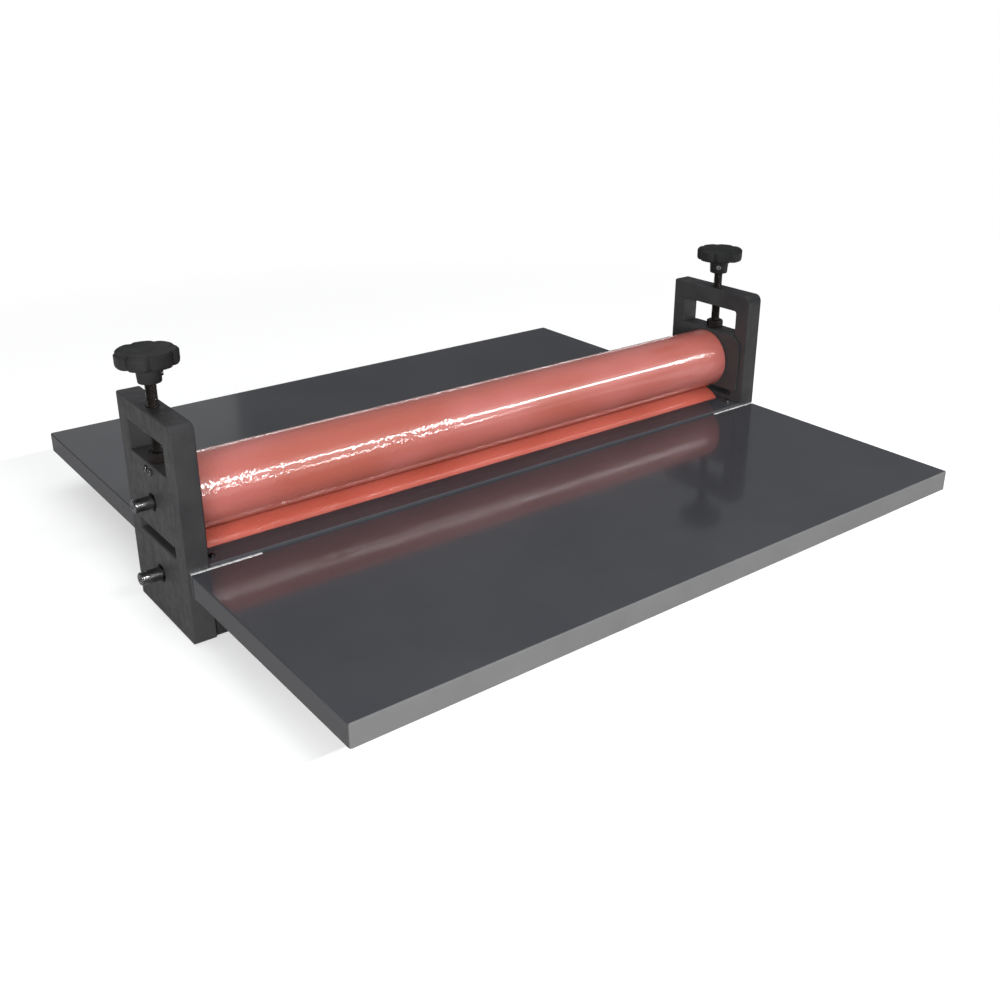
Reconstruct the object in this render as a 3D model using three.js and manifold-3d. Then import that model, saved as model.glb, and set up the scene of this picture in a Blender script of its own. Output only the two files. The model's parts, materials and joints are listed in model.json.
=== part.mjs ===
// Cold roll laminator: a bench machine that presses film onto prints between two rubber rollers.
// Millimetres, +Z up. X runs along the rollers, -Y is the feed side and +Y the rear.
// The origin is on the bench, under the nip and midway between the two side frames.

import * as THREE from 'three';
import { mergeVertices } from 'three/addons/utils/BufferGeometryUtils.js';
import Module from 'manifold-3d';

const wasm = await Module();
wasm.setup();

// ---------------------------------------------------------------- driving dimensions

const NIP_LENGTH = 663; // rubber face, for 650 mm wide film
const ROLLER_R = 34.4;
const NIP_GAP = 0.4; // keeps the two rubber faces from sharing material
const LOWER_AXIS_Z = 45.2;
const UPPER_AXIS_Z = LOWER_AXIS_Z + 2 * ROLLER_R + NIP_GAP;

const FRAME_GAP = NIP_LENGTH + 7; // between the inner faces of the side frames
const FRAME_T = 21.5;
const FRAME_DEPTH = 118.5;
const FRAME_H = 200;
const FRAME_X = (FRAME_GAP + FRAME_T) / 2; // middle plane of the right frame
const FRAME_Y = FRAME_DEPTH / 2; // its rear face

const WINDOW_HALF = 40.5;
const WINDOW_LOW = 75.5;
const WINDOW_TOP = 179;

const TABLE_REACH = { front: 263, rear: 285.5 }; // front to back
const TABLE_SHIFT = { front: 0, rear: 9.5 }; // the rear table hangs off centre
const TABLE_HALF = 353.5;
const TABLE_TOP = 68.3;
const TABLE_H = 20.5;
const SHEET = 1.5;
const FEED_TOP = TABLE_TOP + 2.7;
const FEED_EDGE_Y = 27.5; // how near the feed plate comes to the nip plane

const SCREW_R = 5; // M10
const SCREW_TIP_Z = 137;
const KNOB_TOP = { left: 249.5, right: 245.5 }; // each is set where its set screw was tightened
const KNOB_R = 26.3;

const CRANK_R = 95;
const CRANK_REST_ANGLE = -45; // degrees in the YZ plane, 0 is straight back

// ---------------------------------------------------------------- sizes that follow from them

const GAP = 0.3; // between pieces that touch on the real machine
const ROUND = 20; // facets round a bearing or shaft
const ROLLER_FACETS = 2 * ROUND;
const BOLT_FACETS = 10;
const SCREW_FACETS = 16; // round the pressure screws and what they pass through

const BLOCK_HALF = WINDOW_HALF - 0.4;
const BLOCK_LOW = 86;
const BLOCK_TOP = 150.8;
const FLANGE_HALF = 52;
const FLANGE_T = 2.4;
const FLANGE_LOW = 83;
const FLANGE_CORNER = 16;

const BEARING = { outer: 17.5, race: 14.2, shield: 10.3, inner: 9.8, bore: 7.5, width: 11 };
const SEAT_DEPTH = BEARING.width + 2 * GAP;
const STUB_R = 6;
const SHAFT_HOLE_R = 8.6;
const STUB_REACH = { lower: 20, upper: 17.5, crank: 36 }; // past the frame's outer face

const SCREW_HOLE_R = SCREW_R + GAP;
const NECK = { low: 141.4, high: 146.6, r: 3.1 };
const RETAINER = { r: 1.8, y: 5.2, z: 144, length: 18.5, headR: 3.2, headH: 2 };
const NUT = { across: 17, height: 8.5 };

const RIM_H = 13;
const HUB_H = 15.5;
const KNOB_LOBES = 7;
const KNOB_SET_SCREW = { r: 3, length: 6.3 };

const BRACKET = { length: 66, t: 3, low: 48, ledge: 24 };
const BRACKET_BOLT = { across: 10, head: 4, r: 3, length: 14, z: 55 };
const STUD = { r: 2.5, length: 10, inset: 33, back: 14 };
const STUD_NUT = { across: 8, height: 4 };

const BASE = { height: 30, t: 3, tab: 4, tabWidth: 26 };
const BASE_BOLT = { across: 13, head: 5.3, r: 4, length: 18, inset: 16 };
const LUG = { reach: 18, front: 56.5, back: 37.5, low: 55 };
const FEED_SCREW = { x: 327, y: 45, r: 1.8, length: 10, headR: 3, headH: 2 };

const X = new THREE.Vector3(1, 0, 0);
const Y = new THREE.Vector3(0, 1, 0);
const Z = new THREE.Vector3(0, 0, 1);
const rad = THREE.MathUtils.degToRad;

// ---------------------------------------------------------------- materials

function finish(color, roughness, metalness) {
  return new THREE.MeshStandardMaterial({ color, roughness, metalness });
}

const castIron = finish(0x343538, 0.6, 0.3);
const tablePaint = finish(0x3f4248, 0.35, 0.2);
const rubber = finish(0xc4503a, 0.25, 0.0);
const brightSteel = finish(0xb9bcc0, 0.25, 1.0);
const zinc = finish(0xc9ccd0, 0.35, 1.0);
const blackSteel = finish(0x232326, 0.45, 0.8);
const knobPlastic = finish(0x2b2b2d, 0.6, 0.0);

// ---------------------------------------------------------------- shape helpers

function toSolid(geometry) {
  const bare = geometry.clone();
  bare.deleteAttribute('normal');
  bare.deleteAttribute('uv');
  const merged = mergeVertices(bare, 1e-4);
  return new wasm.Manifold(new wasm.Mesh({
    numProp: 3,
    vertProperties: new Float32Array(merged.attributes.position.array),
    triVerts: new Uint32Array(merged.index.array),
  }));
}

function fromSolid(solid) {
  const mesh = solid.getMesh();
  const geometry = new THREE.BufferGeometry();
  geometry.setAttribute('position', new THREE.BufferAttribute(mesh.vertProperties, 3));
  geometry.setIndex(new THREE.BufferAttribute(mesh.triVerts, 1));
  geometry.computeVertexNormals();
  return geometry;
}

// The first geometry with the others added, then the tools cut away.
function build(parts, tools = []) {
  let solid = toSolid(parts[0]);
  for (const part of parts.slice(1)) {
    solid = solid.add(toSolid(part));
  }
  for (const tool of tools) {
    solid = solid.subtract(toSolid(tool));
  }
  return fromSolid(solid);
}

function box(x, y, z) {
  const geometry = new THREE.BoxGeometry(x[1] - x[0], y[1] - y[0], z[1] - z[0]);
  return geometry.translate((x[0] + x[1]) / 2, (y[0] + y[1]) / 2, (z[0] + z[1]) / 2);
}

// A range of X on one side of the machine: side 1 is right, -1 is left.
function span(side, a, b) {
  return side > 0 ? [a, b] : [-b, -a];
}

function cylinder(axis, radius, from, to, centre = [0, 0], facets = ROUND) {
  const geometry = new THREE.CylinderGeometry(radius, radius, to - from, facets);
  const middle = (from + to) / 2;
  if (axis === X) {
    return geometry.rotateZ(-Math.PI / 2).translate(middle, centre[0], centre[1]);
  }
  if (axis === Y) {
    return geometry.translate(centre[0], middle, centre[1]);
  }
  return geometry.rotateX(Math.PI / 2).translate(centre[0], centre[1], middle);
}

// Turns a profile of [radius, height] points about the axis. Heights rise along the outside.
function turned(axis, profile, facets = ROUND) {
  const points = profile.map(([r, h]) => new THREE.Vector2(r, h));
  const geometry = new THREE.LatheGeometry(points, facets);
  return axis === X ? geometry.rotateZ(-Math.PI / 2) : geometry.rotateX(Math.PI / 2);
}

// A plate whose outline lies in the YZ plane, between two X planes.
function plateX(shape, from, to) {
  const geometry = new THREE.ExtrudeGeometry(shape, {
    depth: to - from, bevelEnabled: false, curveSegments: 4,
  });
  return geometry.applyMatrix4(new THREE.Matrix4().makeBasis(Y, Z, X)).translate(from, 0, 0);
}

// A rectangle with one radius per corner: low-left, low-right, top-right, top-left.
function roundedRectangle(x0, y0, x1, y1, [a, b, c, d], path = new THREE.Shape()) {
  path.moveTo(x0 + a, y0);
  path.lineTo(x1 - b, y0);
  path.absarc(x1 - b, y0 + b, b, -Math.PI / 2, 0, false);
  path.lineTo(x1, y1 - c);
  path.absarc(x1 - c, y1 - c, c, 0, Math.PI / 2, false);
  path.lineTo(x0 + d, y1);
  path.absarc(x0 + d, y1 - d, d, Math.PI / 2, Math.PI, false);
  path.lineTo(x0, y0 + a);
  path.absarc(x0 + a, y0 + a, a, Math.PI, Math.PI * 1.5, false);
  return path;
}

function hexagon(across, height) {
  return cylinder(Z, across / Math.sqrt(3), 0, height, [0, 0], 6);
}

// Bolts and screws stand on the plane z = 0 with the shank going down.
function hexBolt({ across, head, r, length }) {
  return build([hexagon(across, head), cylinder(Z, r, -length, 0.5, [0, 0], BOLT_FACETS)]);
}

function panScrew({ headR, headH, r, length }) {
  const rim = headR * 0.7;
  return turned(Z, [[0, -length], [r, -length], [r, 0], [headR, 0], [headR, headH * 0.5],
    [rim, headH], [0, headH]], BOLT_FACETS);
}

// ---------------------------------------------------------------- the scene graph

const laminator = new THREE.Group();
const carriage = new THREE.Group();
laminator.add(carriage);

function put(parent, name, geometry, material, position = [0, 0, 0], outward = null) {
  const mesh = new THREE.Mesh(geometry, material);
  mesh.name = name;
  mesh.position.set(...position);
  if (outward) {
    mesh.quaternion.setFromUnitVectors(Z, outward);
  }
  parent.add(mesh);
  return mesh;
}

const SIDES = [['left', -1], ['right', 1]];
const ENDS = [['front', -1], ['rear', 1]];

// ---------------------------------------------------------------- side frames

// The casting's own X origin is its middle plane, and its inner face looks towards the nip.
function sideFrame(side) {
  const half = FRAME_T / 2;
  const outline = roundedRectangle(-FRAME_Y, 0, FRAME_Y, FRAME_H, [1.5, 1.5, 2.5, 8]);
  const window = roundedRectangle(-WINDOW_HALF, WINDOW_LOW, WINDOW_HALF, WINDOW_TOP,
    [2, 2, 3, 3], new THREE.Path());
  outline.holes.push(window);
  const parts = [plateX(outline, -half, half)];
  const inner = (from, to) => span(-side, half - to, half - from);
  const seat = inner(-1, SEAT_DEPTH);
  const baseBolt = inner(-1, BASE_BOLT.length);
  const tools = [
    cylinder(Z, SCREW_HOLE_R, WINDOW_TOP - 1, FRAME_H + 1, [0, 0], SCREW_FACETS),
    cylinder(X, SHAFT_HOLE_R, -half - 1, half + 1, [0, LOWER_AXIS_Z]),
    cylinder(X, BEARING.outer + GAP, ...seat, [0, LOWER_AXIS_Z]),
  ];
  for (const [, end] of ENDS) {
    const lugX = span(-side, half - 1, half + LUG.reach);
    const lugY = span(end, LUG.back, LUG.front);
    parts.push(box(lugX, lugY, [LUG.low, FEED_TOP - SHEET - GAP]));
    const screwX = side * (FEED_SCREW.x - FRAME_X);
    tools.push(cylinder(Z, FEED_SCREW.r + GAP, LUG.low + 3, FEED_TOP, [screwX, end * FEED_SCREW.y], BOLT_FACETS));
    tools.push(cylinder(X, BASE_BOLT.r + GAP, ...baseBolt, baseBoltPlace(end), BOLT_FACETS));
    const boltY = span(end, FRAME_Y - BRACKET_BOLT.length, FRAME_Y + 1);
    tools.push(cylinder(Y, BRACKET_BOLT.r + GAP, ...boltY, [0, BRACKET_BOLT.z], BOLT_FACETS));
  }
  return build(parts, tools);
}

function baseBoltPlace(end) {
  return [end * (FRAME_Y - BASE_BOLT.inset), BASE.height / 2];
}

for (const [name, side] of SIDES) {
  put(laminator, `${name}_side_frame`, sideFrame(side), castIron, [side * FRAME_X, 0, 0]);
}

// ---------------------------------------------------------------- base channel and its bolts

// A folded channel, open upwards, with a welded tab in each corner.
function baseChannel() {
  const half = FRAME_GAP / 2 - GAP;
  const inside = FRAME_Y - BASE.t;
  const block = box([-half, half], [-FRAME_Y, FRAME_Y], [0, BASE.height]);
  const hollow = box([-half - 1, half + 1], [-inside, inside], [BASE.t, BASE.height + 1]);
  const tabs = [];
  const holes = [];
  for (const [, side] of SIDES) {
    for (const [, end] of ENDS) {
      const tabX = span(side, half - BASE.tab, half);
      tabs.push(box(tabX, span(end, FRAME_Y - BASE.tabWidth, FRAME_Y), [0, BASE.height]));
      const holeX = span(side, half - BASE.tab - 1, half + 1);
      holes.push(cylinder(X, BASE_BOLT.r + GAP, ...holeX, baseBoltPlace(end), BOLT_FACETS));
    }
  }
  return build([build([block], [hollow]), ...tabs], holes);
}

put(laminator, 'base_channel', baseChannel(), castIron);
for (const [endName, end] of ENDS) {
  for (const [sideName, side] of SIDES) {
    const headX = side * (FRAME_GAP / 2 - GAP - BASE.tab - GAP);
    const place = [headX, ...baseBoltPlace(end)];
    const outward = new THREE.Vector3(-side, 0, 0);
    put(laminator, `${endName}_${sideName}_base_bolt`, hexBolt(BASE_BOLT), zinc, place, outward);
  }
}

// ---------------------------------------------------------------- tables, brackets and feed plates

// A sheet pan folded down on four sides, notched at its inner corners for the brackets. Where a side
// wall would meet the head of a bracket bolt, it is relieved round it.
function table(end, reach, shift) {
  const near = FRAME_Y + GAP;
  const far = near + reach;
  const low = TABLE_TOP - TABLE_H;
  const inside = TABLE_HALF - SHEET;
  const pan = box([shift - TABLE_HALF, shift + TABLE_HALF], span(end, near, far), [low, TABLE_TOP]);
  const hollow = box([shift - inside, shift + inside], span(end, near + SHEET, far - SHEET),
    [low - 1, TABLE_TOP - SHEET]);
  const notches = [];
  const headR = BRACKET_BOLT.across / Math.sqrt(3) + GAP;
  for (const [, side] of SIDES) {
    const notchEnd = side * shift > 0 ? TABLE_HALF : TABLE_HALF + 1;
    notches.push(box(span(side, TABLE_HALF - BRACKET.length - GAP, notchEnd),
      span(end, near - 1, near + BRACKET.t + GAP), [low - 1, TABLE_TOP + 1]));
    notches.push(box(span(side, FRAME_X - headR, FRAME_X + headR),
      span(end, near - 1, near + BRACKET.t + BRACKET_BOLT.head + 1), [low - 1, BRACKET_BOLT.z + headR]));
  }
  const studs = SIDES.map(([, side]) => cylinder(
    Z, STUD.r, TABLE_TOP - SHEET - STUD.length, TABLE_TOP - SHEET / 2, studPlace(side, end), BOLT_FACETS));
  return build([build([pan], [hollow, ...notches]), ...studs]);
}

function studPlace(side, end) {
  return [side * (TABLE_HALF - STUD.inset), end * (FRAME_Y + BRACKET.t + STUD.back)];
}

// A plate bolted to the frame's edge, with a ledge that carries the table from below.
function bracket(side, end, shift) {
  const along = span(side, TABLE_HALF - BRACKET.length, TABLE_HALF - GAP);
  const near = FRAME_Y + GAP;
  const ledgeTop = TABLE_TOP - SHEET - GAP;
  const plate = box(along, span(end, near, near + BRACKET.t), [BRACKET.low, TABLE_TOP + GAP]);
  const ledgeEnd = TABLE_HALF + Math.min(0, side * shift) - SHEET - GAP;
  const inset = span(side, TABLE_HALF - BRACKET.length, ledgeEnd);
  const ledge = box(inset, span(end, near + 1, near + BRACKET.t + BRACKET.ledge),
    [ledgeTop - BRACKET.t, ledgeTop]);
  return build([plate, ledge], [
    cylinder(Y, BRACKET_BOLT.r + GAP, ...span(end, near - 1, near + BRACKET.t + 1),
      [side * FRAME_X, BRACKET_BOLT.z], BOLT_FACETS),
    cylinder(Z, STUD.r + GAP, BRACKET.low, TABLE_TOP, studPlace(side, end), BOLT_FACETS),
  ]);
}

// A folded strip that carries the work from the table to the nip.
function feedPlate(end) {
  const half = FRAME_GAP / 2 - GAP;
  const across = [-half, half];
  const top = box(across, span(end, FEED_EDGE_Y, FRAME_Y), [FEED_TOP - SHEET, FEED_TOP]);
  const lip = box(across, span(end, FRAME_Y - SHEET, FRAME_Y), [FEED_TOP - 11, FEED_TOP]);
  const edge = box(across, span(end, FEED_EDGE_Y, FEED_EDGE_Y + SHEET), [FEED_TOP - 2.5, FEED_TOP]);
  const holes = SIDES.map(([, side]) => cylinder(
    Z, FEED_SCREW.r + GAP, FEED_TOP - 3, FEED_TOP + 1, [side * FEED_SCREW.x, end * FEED_SCREW.y], BOLT_FACETS));
  return build([top, lip, edge], holes);
}

for (const [endName, end] of ENDS) {
  const shift = TABLE_SHIFT[endName];
  put(laminator, `${endName}_table`, table(end, TABLE_REACH[endName], shift), tablePaint);
  put(laminator, `${endName}_feed_plate`, feedPlate(end), tablePaint);
  for (const [sideName, side] of SIDES) {
    const where = `${endName}_${sideName}`;
    put(laminator, `${where}_table_bracket`, bracket(side, end, shift), zinc);
    const boltY = end * (FRAME_Y + BRACKET.t + 2 * GAP);
    put(laminator, `${where}_bracket_bolt`, hexBolt(BRACKET_BOLT), zinc,
      [side * FRAME_X, boltY, BRACKET_BOLT.z], new THREE.Vector3(0, end, 0));
    const nut = build([hexagon(STUD_NUT.across, STUD_NUT.height)],
      [cylinder(Z, STUD.r + GAP, -1, STUD_NUT.height + 1, [0, 0], BOLT_FACETS)]);
    const nutZ = TABLE_TOP - SHEET - BRACKET.t - 2 * GAP - STUD_NUT.height;
    put(laminator, `${where}_table_nut`, nut, zinc, [...studPlace(side, end), nutZ]);
    put(laminator, `${where}_feed_screw`, panScrew(FEED_SCREW), brightSteel,
      [side * FEED_SCREW.x, end * FEED_SCREW.y, FEED_TOP + GAP]);
  }
}

// ---------------------------------------------------------------- bearings

// A shielded ball bearing is two pieces here: the outer ring with its shields, and the inner ring.
function bearingOuter() {
  const w = BEARING.width / 2;
  const { outer, race, shield } = BEARING;
  const lip = 1.2;
  return turned(X, [[outer, -w], [outer, w], [shield, w], [shield, w - lip], [race, w - lip],
    [race, lip - w], [shield, lip - w], [shield, -w], [outer, -w]]);
}

function bearingInner() {
  const w = BEARING.width / 2;
  const { inner, bore } = BEARING;
  return turned(X, [[inner, -w], [inner, w], [bore, w], [bore, -w], [inner, -w]]);
}

const BEARING_X = FRAME_GAP / 2 + GAP + BEARING.width / 2;

function putBearing(parent, roller, name, side, z) {
  put(parent, `${name}_${roller}_bearing_outer`, bearingOuter(), brightSteel, [side * BEARING_X, 0, z]);
}

// ---------------------------------------------------------------- rollers

function rollerCore(leftReach, rightReach) {
  const coreR = ROLLER_R - 10.5;
  const coreEnd = NIP_LENGTH / 2 + 0.4;
  const journalR = BEARING.bore - 0.1;
  const shoulder = FRAME_GAP / 2 + GAP / 2;
  const journalEnd = FRAME_GAP / 2 + SEAT_DEPTH - 0.1;
  const tip = (reach) => FRAME_GAP / 2 + FRAME_T + reach;
  const steps = (reach) => [[coreR, coreEnd], [9, coreEnd], [9, shoulder], [journalR, shoulder],
    [journalR, journalEnd], [STUB_R, journalEnd], [STUB_R, tip(reach) - 1],
    [STUB_R - 1, tip(reach)], [0, tip(reach)]];
  const left = steps(leftReach).reverse().map(([r, x]) => [r, -x]);
  return turned(X, [...left, ...steps(rightReach)]);
}

function rollerRubber() {
  const end = NIP_LENGTH / 2;
  const bore = ROLLER_R - 10.4;
  return turned(X, [[ROLLER_R - 1.2, -end], [ROLLER_R, 1.2 - end], [ROLLER_R, end - 1.2],
    [ROLLER_R - 1.2, end], [bore, end], [bore, -end], [ROLLER_R - 1.2, -end]], ROLLER_FACETS);
}

function roller(parent, name, z, rightReach) {
  const group = new THREE.Group();
  group.position.z = z;
  parent.add(group);
  put(group, `${name}_roller_core`, rollerCore(STUB_REACH[name], rightReach), brightSteel);
  put(group, `${name}_roller_rubber`, rollerRubber(), rubber);
  for (const [sideName, side] of SIDES) {
    put(group, `${sideName}_${name}_bearing_inner`, bearingInner(), brightSteel, [side * BEARING_X, 0, 0]);
  }
  return group;
}

roller(laminator, 'lower', LOWER_AXIS_Z, STUB_REACH.lower);
const upperRoller = roller(carriage, 'upper', UPPER_AXIS_Z, STUB_REACH.crank);
for (const [name, side] of SIDES) {
  putBearing(laminator, 'lower', name, side, LOWER_AXIS_Z);
  putBearing(carriage, 'upper', name, side, UPPER_AXIS_Z);
}

// ---------------------------------------------------------------- sliding bearing blocks

// The block fills the frame's window, and its flange bears on the frame's inner face.
function bearingBlock(side) {
  const half = FRAME_T / 2;
  const body = box([-half, half], [-BLOCK_HALF, BLOCK_HALF], [BLOCK_LOW, BLOCK_TOP]);
  const flangeX = span(-side, half + GAP, half + GAP + FLANGE_T);
  const flange = plateX(roundedRectangle(-FLANGE_HALF, FLANGE_LOW, FLANGE_HALF, BLOCK_TOP,
    [5, 5, FLANGE_CORNER, FLANGE_CORNER]), ...flangeX);
  const neckX = span(-side, half - 1, half + GAP + 1);
  const neck = box(neckX, [-BLOCK_HALF, BLOCK_HALF], [BLOCK_LOW, BLOCK_TOP]);
  const seatX = span(-side, half - SEAT_DEPTH, half + GAP + FLANGE_T + 1);
  const tools = [
    cylinder(X, BEARING.outer + GAP, ...seatX, [0, UPPER_AXIS_Z]),
    cylinder(X, SHAFT_HOLE_R, -half - 1, half + 1, [0, UPPER_AXIS_Z]),
    cylinder(Z, SCREW_R + 0.4, SCREW_TIP_Z - 1, BLOCK_TOP + 1, [0, 0], SCREW_FACETS),
  ];
  const retainerX = span(side, half - RETAINER.length - 1, half + 1);
  for (const [, end] of ENDS) {
    tools.push(cylinder(X, RETAINER.r + GAP, ...retainerX, [end * RETAINER.y, RETAINER.z], BOLT_FACETS));
  }
  return build([body, neck, flange], tools);
}

for (const [sideName, side] of SIDES) {
  put(carriage, `${sideName}_bearing_block`, bearingBlock(side), castIron, [side * FRAME_X, 0, 0]);
  for (const [endName, end] of ENDS) {
    const x = side * (FRAME_X + FRAME_T / 2 + GAP);
    put(carriage, `${sideName}_${endName}_retaining_screw`, panScrew(RETAINER), brightSteel,
      [x, end * RETAINER.y, RETAINER.z], new THREE.Vector3(side, 0, 0));
  }
}

// ---------------------------------------------------------------- pressure screws and knobs

function pressureScrew(knobTop) {
  const top = knobTop - 6;
  return turned(Z, [[0, SCREW_TIP_Z], [SCREW_R - 0.6, SCREW_TIP_Z], [SCREW_R, SCREW_TIP_Z + 0.6],
    [SCREW_R, NECK.low], [NECK.r, NECK.low], [NECK.r, NECK.high], [SCREW_R, NECK.high],
    [SCREW_R, top - 1], [SCREW_R - 1, top], [0, top]], SCREW_FACETS);
}

// Seven broad lobes with narrow hollows between them.
function knobOutline(radius) {
  const shape = new THREE.Shape();
  const steps = KNOB_LOBES * 6;
  for (let i = 0; i < steps; i += 1) {
    const angle = (i / steps) * Math.PI * 2;
    const hollow = Math.abs(Math.cos((angle * KNOB_LOBES) / 2)) ** 4;
    const r = radius - 2.4 * hollow;
    const point = [r * Math.cos(angle), r * Math.sin(angle)];
    if (i === 0) {
      shape.moveTo(...point);
    } else {
      shape.lineTo(...point);
    }
  }
  return shape;
}

function knob(top, setScrewAngle) {
  const bevel = 2;
  const rimLow = top - RIM_H;
  const rim = new THREE.ExtrudeGeometry(knobOutline(KNOB_R - bevel), {
    depth: RIM_H - 2 * bevel, bevelThickness: bevel, bevelSize: bevel, bevelSegments: 1,
  }).translate(0, 0, rimLow + bevel);
  const hubLow = rimLow - HUB_H;
  const hub = turned(Z, [[0, hubLow], [10, hubLow], [11, rimLow + 1], [0, rimLow + 1]]);
  const dish = turned(Z, [[0, top - 2], [14, top - 1.4], [20, top + 1], [0, top + 1]]);
  const bore = cylinder(Z, SCREW_R + GAP, hubLow - 1, top - 5.5, [0, 0], SCREW_FACETS);
  const tapped = cylinder(X, KNOB_SET_SCREW.r + GAP, 2, 15, [0, hubLow + HUB_H / 2], BOLT_FACETS);
  return build([rim, hub], [dish, bore, tapped.rotateZ(setScrewAngle)]);
}

// The set screw of each knob points a different way, as the knobs are turned by hand.
const SET_SCREW_ANGLE = { left: rad(-20), right: rad(-140) };

for (const [sideName, side] of SIDES) {
  const group = new THREE.Group();
  group.position.x = side * FRAME_X;
  carriage.add(group);
  put(group, `${sideName}_pressure_screw`, pressureScrew(KNOB_TOP[sideName]), blackSteel);
  const nut = build([hexagon(NUT.across, NUT.height)],
    [cylinder(Z, SCREW_R + 0.15, -1, NUT.height + 1, [0, 0], SCREW_FACETS)]);
  put(group, `${sideName}_thrust_nut`, nut, blackSteel, [0, 0, BLOCK_TOP + GAP]);
  const angle = SET_SCREW_ANGLE[sideName];
  put(group, `${sideName}_knob`, knob(KNOB_TOP[sideName], angle), knobPlastic);
  const out = new THREE.Vector3(Math.cos(angle), Math.sin(angle), 0);
  const setScrew = cylinder(Z, KNOB_SET_SCREW.r, -KNOB_SET_SCREW.length, 0, [0, 0], BOLT_FACETS);
  const seat = out.clone().multiplyScalar(SCREW_R + GAP + KNOB_SET_SCREW.length);
  put(group, `${sideName}_knob_set_screw`, setScrew, brightSteel,
    [seat.x, seat.y, KNOB_TOP[sideName] - RIM_H - HUB_H / 2], out);
}

// ---------------------------------------------------------------- crank, on the upper roller's right end

const CRANK = { hubR: 13, hubT: 20, armT: 8, eyeR: 12, boltR: 4 };
const CRANK_X = FRAME_GAP / 2 + FRAME_T + STUB_REACH.crank - 1; // the arm's outer face
const GRIP = { r: 12.5, neckR: 9.5, length: 78, bore: CRANK.boltR + 0.5 };

// Built with the arm along +Y; the group turns it to its rest angle.
function crankArm() {
  const arm = new THREE.Shape();
  const lean = Math.asin((CRANK.hubR - CRANK.eyeR) / CRANK_R);
  arm.absarc(0, 0, CRANK.hubR, Math.PI / 2 - lean, Math.PI * 1.5 + lean, false);
  arm.absarc(CRANK_R, 0, CRANK.eyeR, -Math.PI / 2 + lean, Math.PI / 2 - lean, false);
  const plate = plateX(arm, -CRANK.armT, 0);
  const hub = cylinder(X, CRANK.hubR, -CRANK.hubT, -1);
  return build([plate, hub], [
    cylinder(X, STUB_R + GAP, -CRANK.hubT - 1, 1),
    cylinder(X, CRANK.boltR + GAP, -CRANK.armT - 1, 1, [CRANK_R, 0], BOLT_FACETS),
    cylinder(Y, KNOB_SET_SCREW.r + GAP, -CRANK.hubR - 1, -3, [-CRANK.hubT + 6, 0], BOLT_FACETS),
  ]);
}

// A plain bolt is the grip's axle; its head holds the grip on.
function gripBolt() {
  const end = GRIP.length + 2 * GAP;
  return turned(X, [[0, -CRANK.armT], [CRANK.boltR, -CRANK.armT], [CRANK.boltR, end],
    [7, end], [7, end + 3], [6, end + 4], [0, end + 4]], BOLT_FACETS);
}

function gripBody() {
  const { r, neckR, length, bore } = GRIP;
  return turned(X, [[bore, 0], [neckR, 0], [neckR, 4], [r - 1, 12], [r, length / 2], [r - 1, length - 8],
    [neckR, length], [bore, length], [bore, 0]], SCREW_FACETS);
}

const crank = new THREE.Group();
crank.position.x = CRANK_X;
crank.rotation.x = rad(CRANK_REST_ANGLE);
upperRoller.add(crank);
put(crank, 'crank_arm', crankArm(), blackSteel);
put(crank, 'crank_grip_bolt', gripBolt(), brightSteel, [0, CRANK_R, 0]);
put(crank, 'crank_grip', gripBody(), knobPlastic, [GAP, CRANK_R, 0]);
put(crank, 'crank_set_screw', cylinder(Z, KNOB_SET_SCREW.r, -KNOB_SET_SCREW.length, 0, [0, 0], BOLT_FACETS),
  brightSteel, [-CRANK.hubT + 6, -STUB_R - GAP - KNOB_SET_SCREW.length, 0], Y.clone().negate());

export default laminator;
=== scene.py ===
import json
import math

import bmesh
import bpy
from mathutils import Matrix, Vector

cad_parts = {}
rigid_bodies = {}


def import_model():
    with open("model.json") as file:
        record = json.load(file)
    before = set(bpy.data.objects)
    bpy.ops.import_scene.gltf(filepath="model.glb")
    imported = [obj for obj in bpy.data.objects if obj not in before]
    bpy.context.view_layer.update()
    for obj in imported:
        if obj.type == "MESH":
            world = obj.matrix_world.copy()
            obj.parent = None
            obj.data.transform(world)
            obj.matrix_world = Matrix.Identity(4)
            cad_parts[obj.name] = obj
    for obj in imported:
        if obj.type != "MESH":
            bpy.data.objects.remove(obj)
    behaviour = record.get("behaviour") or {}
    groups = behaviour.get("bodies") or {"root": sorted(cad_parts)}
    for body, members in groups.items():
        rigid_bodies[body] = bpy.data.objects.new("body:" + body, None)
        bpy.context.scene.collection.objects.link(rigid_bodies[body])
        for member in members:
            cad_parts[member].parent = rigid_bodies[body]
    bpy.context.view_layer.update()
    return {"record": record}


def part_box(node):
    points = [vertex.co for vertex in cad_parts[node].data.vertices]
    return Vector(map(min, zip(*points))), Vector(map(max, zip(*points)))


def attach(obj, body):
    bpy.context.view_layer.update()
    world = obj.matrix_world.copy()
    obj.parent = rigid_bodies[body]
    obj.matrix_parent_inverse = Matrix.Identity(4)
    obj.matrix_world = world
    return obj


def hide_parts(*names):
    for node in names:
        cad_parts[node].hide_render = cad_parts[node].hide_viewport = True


# The looks of the cold roll laminator. +Z is up, X runs along the rollers and -Y is the feed side.
# Shapes are drawn in millimetres, and piece() turns them into metres.

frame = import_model()

MM = 0.001
SIDES = {"left": -1, "right": 1}
ENDS = {"front": -1, "rear": 1}
BODY_OF = {
    node: body
    for body, nodes in frame["record"]["behaviour"]["bodies"].items()
    for node in nodes
}

# ---------------- sizes in millimetres

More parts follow.
